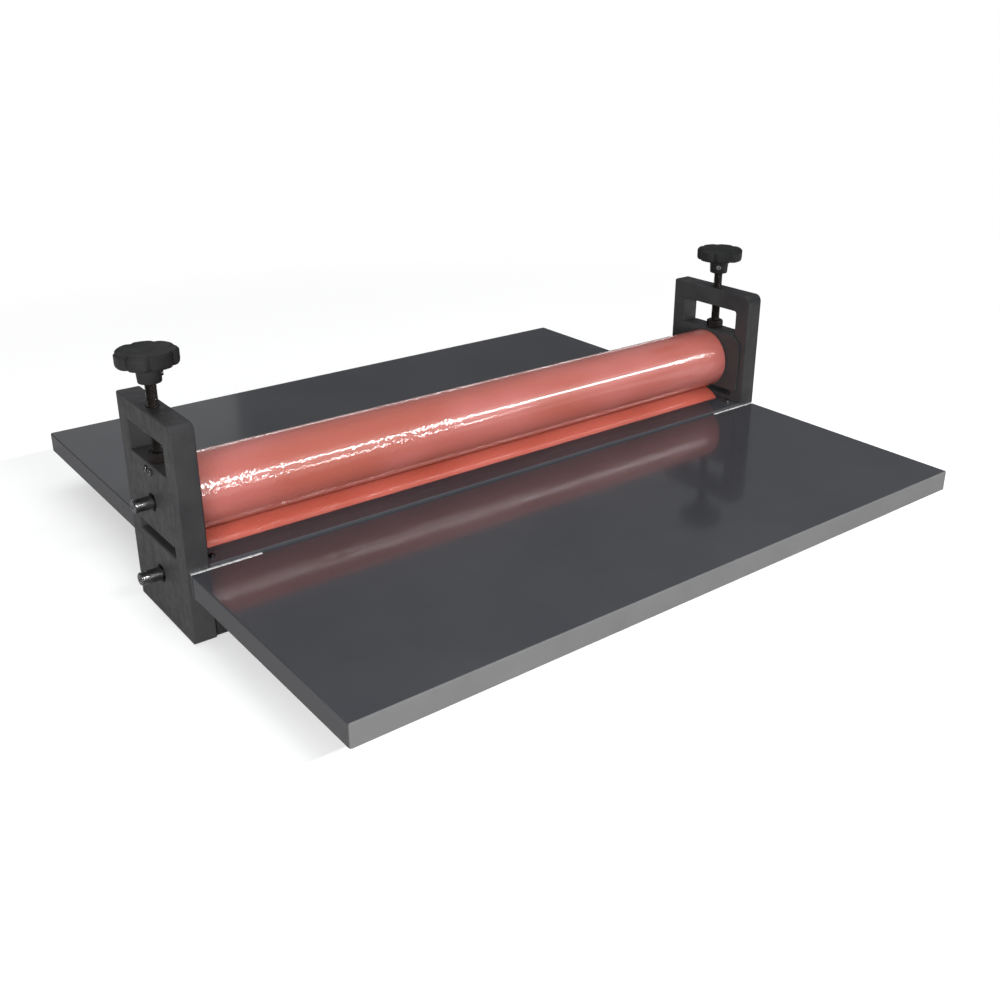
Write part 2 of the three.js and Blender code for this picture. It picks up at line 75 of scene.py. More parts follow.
GAP = 0.3  # between pieces that touch
FRAME_T = 21.5
CASTING_EDGE = 1.5  # rounding of the castings' rims
WINDOW = {"half": 40.5, "low": 75.5, "top": 179}
SHAFT_HOLE_R = 8.6
SEAT_R = 17.8
SEAT_DEPTH = 11.6
LUG = {"reach": 18, "near": 37.5, "far": 56.5, "low": 55, "top": 69.2}
HOLE_R = {"base_bolt": 4.3, "base_tab": 4.4, "bracket_bolt": 3.3,
          "feed_screw": 2.1, "feed_plate": 2.2, "table_stud": 2.8}
HOLE_DEPTH = {"base_bolt": 18, "bracket_bolt": 14, "retaining_screw": 19.5}  # in the castings
SHEET = 1.5
PAN = {"corner": 2.0, "bend": 1.6}
STUD_R = 2.5
SMALL_SCREW_R = 1.8  # feed screws and retaining screws
SET_SCREW = {"r": 3.0, "hole_r": 3.3, "length": 6.3}
SCREW_R = 5.0
PITCH = 1.5
THREAD_DEPTH = 0.85
NECK = {"low": 141.4, "high": 146.6, "r": 3.1}  # of a pressure screw, between the retaining screws
STUB_R = 6.0  # a shaft's bare ends
JOURNAL_R = 7.4  # under the bearings
COLLAR_R = 9.0  # between bearing and rubber
RUBBER_T = 10.4
BLOCK = {"low": 86, "clear": 0.4, "overlap": 1.2, "flange_t": 2.4, "screw_hole_low": 136}
BEARING = {"shield": 10.3, "race": 14.2, "rim": 15.0, "inner": 9.8, "bore": 7.5, "inset": 0.5, "lip": 1.2}
KNOB = {"lobes": 7, "hollow": 2.6, "r": 26.3, "rim": 13.0, "hub_r": 10.0, "bore_depth": 5.5}
BASE = {"t": 3, "tab": 4, "tab_width": 26}
BRACKET = {"t": 3, "bolt_across": 10, "bolt_head": 4}
CRANK = {"hub_r": 13, "hub_t": 20, "arm_t": 8, "eye_r": 12, "bolt_r": 4, "bolt_head_r": 7}

ARC = 6  # steps in a rounded corner
PAST = 1  # how far a cutter runs past what it cuts


def extent(node):
    """Lowest and highest corner of a CAD node."""
    low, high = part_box(node)
    return low / MM, high / MM


def centre(node):
    low, high = extent(node)
    return (low + high) / 2


def span(sign, near, far):
    """Two distances from the middle as places on one side of it, the lower one first."""
    return sorted((sign * near, sign * far))


def from_middle(low, high):
    """How far two places are from the middle, the nearer one first."""
    return sorted((abs(low), abs(high)))


def far_edge(sign, low, high):
    """How far a range reaches from the middle on one side of it."""
    return sign * (high if sign > 0 else low)


FRAME_LOW, FRAME_HIGH = extent("right_side_frame")
OUTER_X = FRAME_HIGH.x
INNER_X = OUTER_X - FRAME_T
FRAME_X = OUTER_X - FRAME_T / 2
FRAME_Y = FRAME_HIGH.y
LOWER_AXIS = centre("lower_roller_rubber").z
UPPER_AXIS = centre("upper_roller_rubber").z
ROLLER_R = extent("upper_roller_rubber")[1].z - UPPER_AXIS
TABLE_TOP = extent("front_table")[1].z
GRIP_AXIS = centre("crank_grip")

# ---------------- shape helpers

# A shape is drawn round Z; these turn its Z to the named axis without mirroring it.
TURN = {
    "X": Matrix(((0, 0, 1, 0), (1, 0, 0, 0), (0, 1, 0, 0), (0, 0, 0, 1))),
    "Y": Matrix(((0, 1, 0, 0), (0, 0, 1, 0), (1, 0, 0, 0), (0, 0, 0, 1))),
    "Z": Matrix.Identity(4),
}


def aim(direction, place):
    """A matrix that stands a shape drawn round Z at a place, along a direction."""
    turn = Vector((0, 0, 1)).rotation_difference(Vector(direction)).to_matrix().to_4x4()
    return Matrix.Translation(Vector(place)) @ turn


def moved(bm, matrix):
    bm.transform(matrix)
    return bm


def shifted(bm, x, y, z):
    return moved(bm, Matrix.Translation((x, y, z)))


def outward(bm):
    bmesh.ops.recalc_face_normals(bm, faces=bm.faces)
    return bm


def fillet(corners, steps=ARC):
    """A closed outline whose corners (u, v, radius) are rounded with arcs."""
    points = []
    for i, (u, v, radius) in enumerate(corners):
        here = Vector((u, v))
        if radius <= 0:
            points.append(here)
            continue
        back = (Vector(corners[i - 1][:2]) - here).normalized()
        on = (Vector(corners[(i + 1) % len(corners)][:2]) - here).normalized()
        half = back.angle(on) / 2
        middle = here + (back + on).normalized() * (radius / math.sin(half))
        start = here + back * (radius / math.tan(half)) - middle
        side = 1 if on.x * back.y - on.y * back.x > 0 else -1
        for k in range(steps + 1):
            turn = Matrix.Rotation(side * (math.pi - 2 * half) * k / steps, 2)
            points.append(middle + turn @ start)
    return points


def rounded_rectangle(u0, v0, u1, v1, radii):
    """An outline as a function of how far it is moved inwards. Radii go round from the low corner."""
    def loop(inset):
        corners = [(u0 + inset, v0 + inset), (u1 - inset, v0 + inset),
                   (u1 - inset, v1 - inset), (u0 + inset, v1 - inset)]
        return fillet([(u, v, max(r - inset, 0.05)) for (u, v), r in zip(corners, radii)])
    return loop


def ring(bm, points, height):
    return [bm.verts.new((p[0], p[1], height)) for p in points]


def bridge(bm, a, b):
    for i in range(len(a)):
        j = (i + 1) % len(a)
        bm.faces.new((a[i], a[j], b[j], b[i]))


def stack(bm, outline, levels):
    """Rings of an outline at levels (inset, height), joined in turn. Gives the first and the last one."""
    rings = [ring(bm, outline(inset), height) for inset, height in levels]
    for a, b in zip(rings, rings[1:]):
        bridge(bm, a, b)
    return rings[0], rings[-1]


def rim_edges(bm, rim):
    return [bm.edges.get((rim[i - 1], rim[i])) for i in range(len(rim))]


def plate(outer, holes, low, high, edge, axis="X"):
    """A flat plate between two planes. All its rims are rounded; outlines are functions of an inset."""
    bm = bmesh.new()
    caps = ([], [])
    outlines = [outer] + [lambda inset, hole=hole: hole(-inset) for hole in holes]
    for outline in outlines:
        steps = []
        for k in range(ARC // 2 + 1):
            angle = math.pi / 2 * k / (ARC // 2)
            steps.append((edge * (1 - math.sin(angle)), edge * (1 - math.cos(angle))))
        levels = [(inset, low + rise) for inset, rise in steps]
        levels += [(inset, high - rise) for inset, rise in reversed(steps)]
        for cap, rim in zip(caps, stack(bm, outline, levels)):
            cap.extend(rim_edges(bm, rim))
    for edges in caps:
        bmesh.ops.triangle_fill(bm, use_beauty=True, edges=edges)
    return moved(outward(bm), TURN[axis])


def prism(points, low, high):
    """An outline pulled straight along X."""
    bm = bmesh.new()
    first, last = ring(bm, points, low), ring(bm, points, high)
    bridge(bm, first, last)
    for rim in (first, last):
        bmesh.ops.triangle_fill(bm, use_beauty=True, edges=rim_edges(bm, rim))
    return moved(outward(bm), TURN["X"])


def block(x, y, z, edge):
    """A box with rounded edges that fills three ranges."""
    bm = bmesh.new()
    bmesh.ops.create_cube(bm, size=1)
    low, high = (Vector(corner) for corner in zip(x, y, z))
    bmesh.ops.scale(bm, vec=high - low, verts=bm.verts)
    bmesh.ops.translate(bm, vec=(low + high) / 2, verts=bm.verts)
    if edge > 0:
        bmesh.ops.bevel(bm, geom=list(bm.edges), offset=edge, segments=3, profile=0.5, affect="EDGES")
    return outward(bm)


def loft(levels, count):
    """A closed body through rings (height, radius); a radius is a number or a function of the angle.

    Where the first and last rings don't close on the axis, they close on each other, as in a tube.
    """
    bm = bmesh.new()
    rings = []
    for height, radius in levels:
        if not callable(radius) and radius < 1e-6:
            rings.append([bm.verts.new((0, 0, height))])
            continue
        angles = [2 * math.pi * i / count for i in range(count)]
        radii = [radius(a) if callable(radius) else radius for a in angles]
        around = [(r * math.cos(a), r * math.sin(a)) for r, a in zip(radii, angles)]
        rings.append(ring(bm, around, height))
    pairs = list(zip(rings, rings[1:]))
    if len(rings[0]) > 1:
        pairs.append((rings[-1], rings[0]))
    for a, b in pairs:
        if len(a) > 1 and len(b) > 1:
            bridge(bm, a, b)
            continue
        tip, rim = (a[0], b) if len(a) == 1 else (b[0], a)
        for i in range(len(rim)):
            bm.faces.new((tip, rim[i - 1], rim[i]))
    return outward(bm)


def profile(corners, steps):
    """Levels for loft() from corners (radius, height, rounding), taken round a closed outline."""
    return [(p.y, p.x) for p in fillet(corners, steps)]


def rod(axis, radius, low, high, at=(0, 0, 0), count=48):
    """A plain round cutter along an axis."""
    bm = loft([(low, 0), (low, radius), (high, radius), (high, 0)], count)
    return shifted(moved(bm, TURN[axis]), *at)


def hexagon(across, limit):
    """A hexagon's radius by angle, held within a circle, which gives the chamfer of a nut or bolt head."""
    def radius(angle):
        turn = math.pi / 3
        return min(across / 2 / math.cos((angle % turn) - turn / 2), limit)
    return radius


def hex_levels(across, low, high):
    """Levels of a hexagonal body whose ends are chamfered by a 30 degree cone."""
    corner = across / math.sqrt(3)
    flat = across / 2 * 0.97
    drop = (corner - flat) * math.tan(math.pi / 6)
    shares = [0, 0.15, 0.35, 0.6, 1]
    up = [(low + drop * s, hexagon(across, flat + (corner - flat) * s)) for s in shares]
    down = [(high - drop * s, hexagon(across, flat + (corner - flat) * s)) for s in reversed(shares)]
    return up + down


def to_mesh(bm, name):
    mesh = bpy.data.meshes.new(name)
    bm.to_mesh(mesh)
    bm.free()
    return mesh


def placed(name, data):
    """A new object in the scene."""
    made = bpy.data.objects.new(name, data)
    bpy.context.scene.collection.objects.link(made)
    return made


def joined(shapes):
    """Several shapes that don't touch, as one."""
    total = bmesh.new()
    for bm in shapes:
        mesh = to_mesh(bm, "part")
        total.from_mesh(mesh)
        bpy.data.meshes.remove(mesh)
    return total


def faced(bm, end):
    """A shape drawn for the rear, mirrored when it is for the front."""
    return bm if end > 0 else outward(moved(bm, Matrix.Scale(-1, 4, (0, 1, 0))))


def combined(base, *steps):
    """The base after each step ("UNION" or "DIFFERENCE", shapes) in turn."""
    body = placed("base", to_mesh(base, "base"))
    others = []
    for operation, shapes in steps:
        other = placed("tool", to_mesh(joined(shapes), "tool"))
        others.append(other)
        modifier = body.modifiers.new(operation, "BOOLEAN")
        modifier.operation = operation
        modifier.solver = "EXACT"
        modifier.object = other
    result = bmesh.new()
    result.from_object(body, bpy.context.evaluated_depsgraph_get())
    for thing in [body] + others:
        mesh = thing.data
        bpy.data.objects.remove(thing)
        bpy.data.meshes.remove(mesh)
    bmesh.ops.remove_doubles(result, verts=result.verts, dist=0.002)
    bmesh.ops.dissolve_degenerate(result, edges=result.edges, dist=0.002)
    return outward(result)


def piece(node, bm, material, sharp=35):
    """Puts a shape in the scene in place of a CAD node, riding on that node's body."""
    bm.transform(Matrix.Scale(MM, 4))
    mesh = to_mesh(bm, node + "_fine")
    mesh.materials.append(material)
    mesh.shade_smooth()
    mesh.set_sharp_from_angle(angle=math.radians(sharp))
    made = placed(node + "_fine", mesh)
    weighted = made.modifiers.new("flat_faces_stay_flat", "WEIGHTED_NORMAL")
    weighted.keep_sharp = True
    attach(made, BODY_OF[node])
    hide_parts(node)


# ---------------- materials

MOST = (0.3, 0.7)  # where most of a noise's values lie


class Shader:
    """A node material with one Principled surface, and short ways to add what varies it."""

    def __init__(self, name, slot, **values):
        self.material = bpy.data.materials.new(name)
        self.material["slot"] = slot
        self.material.use_nodes = True
        tree = self.material.node_tree
        self.nodes, self.links = tree.nodes, tree.links
        self.surface = self.nodes["Principled BSDF"]
        for key, value in values.items():
            self.surface.inputs[key.replace("_", " ").title()].default_value = value

    def add(self, kind, inputs=None, **settings):
        node = self.nodes.new(kind)
        for key, value in settings.items():
            setattr(node, key, value)
        for key, value in (inputs or {}).items():
            self.feed(node.inputs[key], value)
        return node

    def feed(self, socket, value):
        if isinstance(value, bpy.types.NodeSocket):
            self.links.new(value, socket)
        else:
            socket.default_value = value

    def set(self, name, value):
        self.feed(self.surface.inputs[name], value)

    def place(self, scale=(1, 1, 1)):
        """Object coordinates in metres, stretched by scale."""
        where = self.add("ShaderNodeTexCoord").outputs["Object"]
        return self.add("ShaderNodeMapping", {"Vector": where, "Scale": scale}).outputs["Vector"]

    def noise(self, scale, stretch=(1, 1, 1), detail=3.0, roughness=0.55):
        """Cloudy values round 0.5; the scale is in lumps per metre."""
        inputs = {"Vector": self.place(stretch), "Scale": scale, "Detail": detail, "Roughness": roughness}
        return self.add("ShaderNodeTexNoise", inputs).outputs["Fac"]

    def fit(self, value, source, target=(0, 1)):
        """The value, mapped from one range to another and held inside it."""
        inputs = {"Value": value, "From Min": source[0], "From Max": source[1],
                  "To Min": target[0], "To Max": target[1]}
        return self.add("ShaderNodeMapRange", inputs).outputs["Result"]

    def math(self, operation, a, b=0.0):
        node = self.add("ShaderNodeMath", operation=operation)
        self.feed(node.inputs[0], a)
        self.feed(node.inputs[1], b)
        return node.outputs[0]

    def blend(self, factor, a, b):
        node = self.add("ShaderNodeMix", data_type="RGBA")
        for socket, value in (("Factor_Float", factor), ("A_Color", a), ("B_Color", b)):
            match = next(s for s in node.inputs if s.identifier == socket)
            self.feed(match, value)
        return next(s for s in node.outputs if s.identifier == "Result_Color")

    def facing(self, axis):
        """How far the surface faces along an axis, from -1 to 1."""
        normal = self.add("ShaderNodeNewGeometry").outputs["True Normal"]
        return self.add("ShaderNodeSeparateXYZ", {"Vector": normal}).outputs[axis]

    def flat(self):
        """1 on surfaces that face up or down, 0 on walls."""
        return self.fit(self.math("ABSOLUTE", self.facing("Z")), (0.35, 0.8))

    def long_skirt(self):
        """1 on walls that face away from the machine's middle along Y, 0 elsewhere."""
        faces = self.facing("Y")
        lies = self.add("ShaderNodeSeparateXYZ", {"Vector": self.place()}).outputs["Y"]
        return self.fit(self.math("MULTIPLY", faces, lies), (0.10, 0.20))

    def rough(self, noise, low, high):
        """Roughness that wanders between two values."""
        self.set("Roughness", self.fit(noise, MOST, (low, high)))

    def bump(self, height, depth, below=None):
        """Relief of a depth in millimetres, laid over another relief."""
        inputs = {"Height": height, "Distance": depth * MM, "Strength": 1.0}
        if below is not None:
            inputs["Normal"] = below
        return self.add("ShaderNodeBump", inputs).outputs["Normal"]


def grey(value, tint=(1, 1, 1)):
    return tuple(value * t for t in tint) + (1.0,)


def cast_paint(name, level):
    """Dark enamel with patches and a fine orange peel on a slightly uneven skin."""
    s = Shader(name, "frame_casting", metallic=0.0)
    patches = s.fit(s.noise(28, detail=4), MOST)
    low, high = grey(level * 0.8, (1, 1, 1.05)), grey(level * 1.2, (1.02, 1, 1.03))
    s.set("Base Color", s.blend(patches, low, high))
    s.rough(s.noise(90, detail=5), 0.38, 0.56)
    skin = s.bump(s.noise(60, detail=2), 0.5)
    peel = s.bump(s.noise(650, detail=2), 0.07, skin)
    s.set("Normal", s.bump(s.noise(2600, detail=1), 0.02, peel))
    return s.material


def table_paint(name, painted_wall_light):
    """Satin paint on sheet steel. On a table the walls carry painted light: they are painted paler than the
    top, and the long outer skirt is palest, with a random mottle on it.
    """
    s = Shader(name, "table_paint", metallic=0.0)
    cloud = s.fit(s.noise(9, detail=5), MOST)
    top = s.blend(cloud, grey(0.023, (0.97, 1, 1.16)), grey(0.029, (0.99, 1, 1.12)))
    flat = s.flat()
    # painted light: a wall's colour depends on which way it faces; walls are paler than the top, palest on
    # the long outer skirt
    if painted_wall_light:
        skirt_mottle = s.fit(s.noise(16, detail=6, roughness=0.6), (0.3, 0.75))
        wall = s.blend(skirt_mottle, grey(0.076, (1, 1, 1.02)), grey(0.090, (1, 1, 1.0)))
        side = s.blend(flat, grey(0.042, (1, 1, 1.05)), top)
        top = s.blend(s.long_skirt(), side, wall)
    s.set("Base Color", top)
    s.rough(s.noise(14, detail=5), 0.10, 0.14)
    s.set("IOR", 1.55)
    s.set("Specular IOR Level", s.fit(flat, (0, 1), (0.12, 0.5)))
    s.set("Coat Weight", s.math("MULTIPLY", flat, 0.25))
    s.set("Coat Roughness", 0.06)
    s.set("Normal", s.bump(s.noise(24, detail=1), 0.06))
    return s.material


def rubber(name, pale, deep):
    """Glossy rubber, smooth in places and finely creased in others."""
    s = Shader(name, "roller_rubber", metallic=0.0)
    tone = s.fit(s.noise(9, (1, 2.4, 2.4), detail=1), (0.35, 0.65))
    s.set("Base Color", s.blend(tone, pale, deep))
    s.set("Roughness", 0.32)
    s.set("Specular IOR Level", 0.25)
    crumpled = s.fit(s.noise(5, (-1.3, 1, 1), detail=0), (0.42, 0.66), (0.03, 1.0))
    creases = s.math("SUBTRACT", s.noise(230, (1.4, 0.8, 0.8), detail=1, roughness=0.5), 0.5)
    creases = s.math("MULTIPLY", creases, crumpled)
    s.set("Normal", s.bump(creases, 0.5))
    s.set("Coat Weight", 0.9)
    s.set("Coat Roughness", 0.03)
    s.set("Coat Normal", s.bump(creases, 0.65))
    return s.material


def bright_steel(name, level):
    """Turned steel with faint marks round the shaft."""
    s = Shader(name, "bright_steel", metallic=1.0)
    tone = s.fit(s.noise(60, (3, 1, 1), detail=3), MOST)
    s.set("Base Color", s.blend(tone, grey(level * 0.9), grey(level, (1, 1, 1.02))))
    s.rough(s.noise(300, (1, 0.2, 0.2), detail=2), 0.22, 0.28)
    return s.material


def zinc_plate():
    """Bright zinc with a cloudy bloom. Painted light: faces that look up or down are painted bright, and the
    walls are painted dark.
    """
    s = Shader("zinc_plate_finish", "zinc_plate", metallic=0.6)
    bloom = s.fit(s.noise(160, detail=4), MOST)
    rim = s.blend(bloom, grey(0.62, (1, 1, 0.98)), grey(0.78, (0.97, 0.99, 1)))
    # painted light: the bright bloom goes on faces that look up or down, dark grey goes on the walls
    s.set("Base Color", s.blend(s.flat(), grey(0.16), rim))
    s.rough(s.noise(240, detail=4), 0.2, 0.42)
    s.set("Normal", s.bump(s.noise(900, detail=2), 0.012))
    return s.material


def black_steel():
    """Blackened steel, browner where the oil has dried."""
    s = Shader("black_steel_finish", "black_steel", metallic=0.7)
    dry = s.fit(s.noise(220, detail=4), (0.35, 0.75))
    s.set("Base Color", s.blend(dry, grey(0.014), (0.026, 0.018, 0.015, 1)))
    s.rough(s.noise(500, detail=3), 0.34, 0.55)
    s.set("Normal", s.bump(s.noise(1400, detail=2), 0.008))
    return s.material


def knob_plastic():
    """Moulded plastic with a fine grain, a little polished by hands."""
    s = Shader("knob_plastic_finish", "knob_plastic", metallic=0.0)
    handled = s.fit(s.noise(55, detail=3), (0.4, 0.7))
    s.set("Base Color", s.blend(handled, grey(0.010), grey(0.016, (1.02, 1, 1))))
    s.rough(s.noise(80, detail=4), 0.40, 0.52)
    s.set("Specular IOR Level", 0.35)
    s.set("Normal", s.bump(s.noise(1500, detail=2), 0.012))
    return s.material


CAST = cast_paint("cast_paint_finish", 0.026)
# painted shade: the base channel takes the castings' paint at less than half the level, standing in for the
# shadow of the tables above it
SHADED_BASE_PAINT = cast_paint("base_paint_painted_shade", 0.012)
TABLE_PAINT = table_paint("table_finish", True)
FEED_PAINT = table_paint("feed_plate_finish", False)
UPPER_RUBBER = rubber("upper_rubber", (0.235, 0.069, 0.060, 1), (0.200, 0.050, 0.036, 1))
LOWER_RUBBER = rubber("lower_rubber", (0.270, 0.058, 0.042, 1), (0.230, 0.044, 0.029, 1))
STEEL = bright_steel("bright_steel_finish", 0.25)
# a darker copy of the bright steel, used on the front left feed screw
DARK_STEEL = bright_steel("darker_steel_finish", 0.05)
ZINC = zinc_plate()
BLACK = black_steel()
PLASTIC = knob_plastic()

# ---------------- fasteners


def hex_bolt(across, head, radius, length):
    """A hexagon-headed bolt standing on z = 0, shank down."""
    washer = across / 2 * 0.92
    levels = [(-length, 0), (-length, radius - 0.6), (0.6 - length, radius), (0, radius), (0, washer)]
    levels += hex_levels(across, 0.3, head)
    levels += [(head, across * 0.3), (head - 0.3, across * 0.26), (head - 0.3, 0)]
    return loft(levels, 48)


def pan_screw(head_r, head_h, radius, length):
    """A pan-headed screw with a cross recess, standing on z = 0, shank down."""
    levels = [(-length, 0), (0.5 - length, radius - 0.4), (1 - length, radius), (0, radius)]
    levels += [(0, head_r - 0.15), (0.2, head_r), (head_h * 0.45, head_r)]
    for k in range(1, 5):
        angle = math.pi / 2 * k / 5
        levels.append((head_h * (0.45 + 0.5 * math.sin(angle)), head_r * (0.55 + 0.45 * math.cos(angle))))
    levels += [(head_h, head_r * 0.4), (head_h, 0)]
    slot, reach = head_r * 0.14, head_r * 0.55
    deep = (head_h - 0.9, head_h + PAST)
    cross = [block((-a, a), (-b, b), deep, 0) for a, b in ((slot, reach), (reach, slot))]
    return combined(loft(levels, 40), ("DIFFERENCE", cross[:1]), ("DIFFERENCE", cross[1:]))


def set_screw():
    """A headless set screw whose outer end, with its hexagon socket, is at z = 0."""
    radius, length = SET_SCREW["r"], SET_SCREW["length"]
    deep = -radius * 0.8
    key = radius * 1.05
    levels = [(-length, 0), (-length, radius - 0.8), (0.8 - length, radius), (-0.5, radius)]
    levels += [(0, radius - 0.5), (0, hexagon(key, key)), (deep, hexagon(key, key)), (deep - 0.5, 0)]
    return loft(levels, 48)


def set_screw_hole(near, far):
    hole_r = SET_SCREW["hole_r"]
    return loft([(near, 0), (near, hole_r), (far, hole_r), (far, 0)], 40)


# ---------------- side frames


def frame_side_x(side, depth, reach=0.0):
    """An X range that starts at the frame's inner face: depth into the casting, reach out of it."""
    return span(side, INNER_X - reach, INNER_X + depth)


def side_frame(name, side):
    """A casting with a window, two lugs for the feed plates, a tapped hole on top and a bearing seat."""
    node = name + "_side_frame"
    outline = rounded_rectangle(-FRAME_Y, FRAME_LOW.z, FRAME_Y, FRAME_HIGH.z, [1.5, 1.5, 2.5, 8])
    window = rounded_rectangle(-WINDOW["half"], WINDOW["low"], WINDOW["half"], WINDOW["top"], [2, 2, 3, 3])
    body = plate(outline, [window], *frame_side_x(side, FRAME_T), CASTING_EDGE)
    bracket_bolt = centre("front_right_bracket_bolt")
    feed_screw = centre("front_right_feed_screw")
    lugs, cuts = [], []
    lug_x = frame_side_x(side, 2, LUG["reach"])
    for end in ENDS.values():
        lug_y = span(end, LUG["near"], LUG["far"])
        lugs.append(block(lug_x, lug_y, (LUG["low"], LUG["top"]), CASTING_EDGE))
        at = (0, *base_bolt_place(end))
        deep = frame_side_x(side, HOLE_DEPTH["base_bolt"], 2)
        cuts.append(rod("X", HOLE_R["base_bolt"], *deep, at=at, count=32))
        deep = span(end, FRAME_Y - HOLE_DEPTH["bracket_bolt"], FRAME_Y + PAST)
        at = (side * FRAME_X, 0, bracket_bolt.z)
        cuts.append(rod("Y", HOLE_R["bracket_bolt"], *deep, at=at, count=32))
        at = (side * feed_screw.x, end * abs(feed_screw.y), 0)
        cuts.append(rod("Z", HOLE_R["feed_screw"], LUG["low"] + 3, LUG["top"] + PAST, at=at, count=24))
    top = FRAME_HIGH.z
    tapped_r = SCREW_R + GAP
    tapped = loft([(WINDOW["top"] - 2, 0), (WINDOW["top"] - 2, tapped_r), (top - 0.9, tapped_r),
                   (top + 0.3, SCREW_R + 1.5), (top + 0.3, 0)], 48)
    cuts.append(shifted(tapped, side * FRAME_X, 0, 0))
    axis = (0, 0, LOWER_AXIS)
    cuts.append(rod("X", SHAFT_HOLE_R, *frame_side_x(side, FRAME_T + PAST, PAST - SEAT_DEPTH), at=axis))
    seat = rod("X", SEAT_R, *frame_side_x(side, SEAT_DEPTH, PAST), at=axis, count=96)
    piece(node, combined(body, ("UNION", lugs), ("DIFFERENCE", cuts), ("DIFFERENCE", [seat])), CAST)


def base_bolt_place(end):
    """Y and Z of a base bolt's axis."""
    place = centre("front_right_base_bolt")
    return end * abs(place.y), place.z


# ---------------- base channel


def base_channel():
    """A folded channel with a tab at each corner that a bolt holds to the frame."""
    low, high = extent("base_channel")
    t = BASE["t"]
    section = fillet([
        (low.y, high.z, 0.5), (low.y, low.z, 5),
        (high.y, low.z, 5), (high.y, high.z, 0.5),
        (high.y - t, high.z, 0.5), (high.y - t, low.z + t, 2),
        (low.y + t, low.z + t, 2), (low.y + t, high.z, 0.5),
    ])
    tabs, holes = [], []
    for side in SIDES.values():
        for end in ENDS.values():
            x = span(side, high.x - BASE["tab"], high.x)
            y = span(end, high.y - BASE["tab_width"], high.y - t / 2)
            tabs.append(block(x, y, (low.z + t / 2, high.z - 0.8), 0.4))
            hole = span(side, high.x - BASE["tab"] - 2, high.x + 2)
            holes.append(rod("X", HOLE_R["base_tab"], *hole, at=(0, *base_bolt_place(end)), count=32))
    body = combined(prism(section, low.x, high.x), ("UNION", tabs), ("DIFFERENCE", holes))
    piece("base_channel", body, SHADED_BASE_PAINT)
    for end_name, end in ENDS.items():
        for side_name, side in SIDES.items():
            x = side * (high.x - BASE["tab"] - GAP)
            place = aim((-side, 0, 0), (x, *base_bolt_place(end)))
            bolt = hex_bolt(across=13, head=5.3, radius=4, length=18)
            piece(f"{end_name}_{side_name}_base_bolt", moved(bolt, place), ZINC)


# ---------------- tables and their brackets


def sheet_pan(low, high):
    """A tray folded down on four sides: outer skin, bottom rim and inner skin."""
    bm = bmesh.new()
    bend = PAN["bend"]

    def skin(inset, top):
        near, far = low.xy + Vector((inset, inset)), high.xy - Vector((inset, inset))
        loop = rounded_rectangle(*near, *far, [PAN["corner"]] * 4)
        levels = [(0, low.z)]
        for k in range(ARC + 1):
            angle = math.pi / 2 * k / ARC
            levels.append((bend * (1 - math.cos(angle)), top - bend * (1 - math.sin(angle))))
        rim, crown = stack(bm, loop, levels)
        bm.faces.new(crown)
        return rim

    outer = skin(0, high.z)
    inner = skin(SHEET, high.z - SHEET)
    bridge(bm, outer, inner)
    return outward(bm)


def table(end_name, end):
    """A sheet pan notched at its inner corners for the brackets, with room for the bracket bolts' heads."""
    node = end_name + "_table"
    low, high = extent(node)
    root, tip = high.z - SHEET / 2, high.z - SHEET - 10
    head_r = BRACKET["bolt_across"] / math.sqrt(3) + GAP
    head_end = FRAME_Y + BRACKET["t"] + BRACKET["bolt_head"] + 1 + GAP
    studs, notches, reliefs = [], [], []
    for side_name, side in SIDES.items():
        plate_low, plate_high = extent(f"{end_name}_{side_name}_table_bracket")
        plate_near, plate_far = from_middle(plate_low.x, plate_high.x)
        edge = far_edge(side, low.x, high.x)
        notch_end = plate_far + GAP if edge > plate_far + 1 else edge + 2
        x = span(side, plate_near - GAP, notch_end)
        y = span(end, FRAME_Y - 2, FRAME_Y + BRACKET["t"] + 2 * GAP)
        notches.append(block(x, y, (low.z - 2, high.z + 2), 0))
        bolt = centre(f"{end_name}_{side_name}_bracket_bolt")
        x = (bolt.x - head_r, bolt.x + head_r)
        y = span(end, FRAME_Y + 2, head_end)
        reliefs.append(block(x, y, (low.z - 2, bolt.z + head_r), 0))
        nut = centre(f"{end_name}_{side_name}_table_nut")
        stud = loft([(tip, 0), (tip, STUD_R - 0.5), (tip + 0.5, STUD_R), (root, STUD_R), (root, 0)], 32)
        studs.append(shifted(stud, nut.x, nut.y, 0))
    cuts = ("DIFFERENCE", notches), ("DIFFERENCE", reliefs)
    piece(node, combined(sheet_pan(low, high), *cuts, ("UNION", studs)), TABLE_PAINT)


